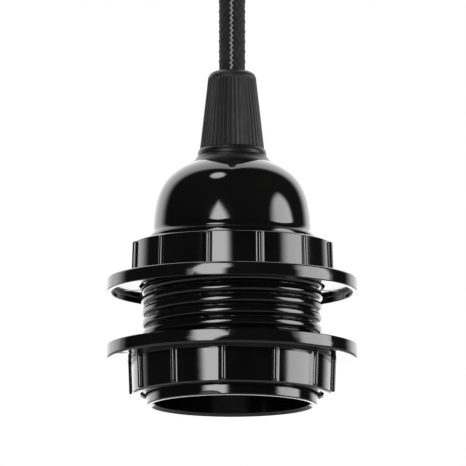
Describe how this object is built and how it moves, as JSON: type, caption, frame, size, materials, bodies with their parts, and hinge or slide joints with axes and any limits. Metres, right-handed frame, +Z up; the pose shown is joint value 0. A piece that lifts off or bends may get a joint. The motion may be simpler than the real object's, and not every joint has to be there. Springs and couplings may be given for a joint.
{
  "type": "lamp holder",
  "caption": "Pendant screw lamp holder with a domed cap, two shade rings on a threaded skirt and a ribbed cord grip, hung on a textile cord from a ceiling rose.",
  "frame": {"origin": "centre of the ceiling face of the rose's plate", "axes": "+Z up, along the cord and the lamp's axis; the ceiling plate's two screws lie along X"},
  "size_m": [0.06, 0.0626, 0.142],
  "materials": {
    "black_phenolic": "glossy moulded phenolic",
    "grip_plastic": "fine matt",
    "rose_plastic": "glossy",
    "porcelain": "glazed",
    "plated_steel": "zinc plated",
    "nickel_plate": "nickel plated",
    "brass": "bright",
    "cord_braid": "braided cotton",
    "brown_insulation": "satin",
    "blue_insulation": "satin"
  },
  "bodies": {
    "holder": {"threaded_skirt": "black_phenolic", "dome_cap": "black_phenolic", "gland_body": "black_phenolic", "grip_cap": "grip_plastic", "rose_cup": "rose_plastic", "rose_cord_grip": "rose_plastic", "contact_carrier": "porcelain", "rose_terminal_block": "porcelain", "ceiling_plate": "plated_steel", "rose_screws": "plated_steel", "rose_grip_screw": "plated_steel", "terminal_screws": "plated_steel", "rose_terminal_screws": "plated_steel", "screw_shell": "nickel_plate", "live_terminal": "brass", "neutral_terminal": "brass", "contact_rivets": "brass", "cord": "cord_braid", "live_core": "brown_insulation", "rose_live_core": "brown_insulation", "neutral_core": "blue_insulation", "rose_neutral_core": "blue_insulation"},
    "upper_ring": {"upper_ring": "black_phenolic"},
    "lower_ring": {"lower_ring": "black_phenolic"},
    "centre_contact": {"centre_plunger": "nickel_plate", "plunger_clip": "plated_steel", "plunger_spring": "plated_steel"}
  },
  "joints": [
    {"name": "upper_ring_travel", "type": "slide", "parent": "holder", "child": "upper_ring", "axis": [0, 0, 1], "range_m": [-0.0055, 0.0015]},
    {"name": "lower_ring_travel", "type": "slide", "parent": "holder", "child": "lower_ring", "axis": [0, 0, 1], "range_m": [-0.009, 0.0055]},
    {"name": "centre_contact_press", "type": "slide", "parent": "holder", "child": "centre_contact", "axis": [0, 0, 1], "range_m": [0, 0.002], "stiffness_N_per_m": 2000, "springref_m": -0.001, "deforming": ["plunger_spring"]}
  ]
}
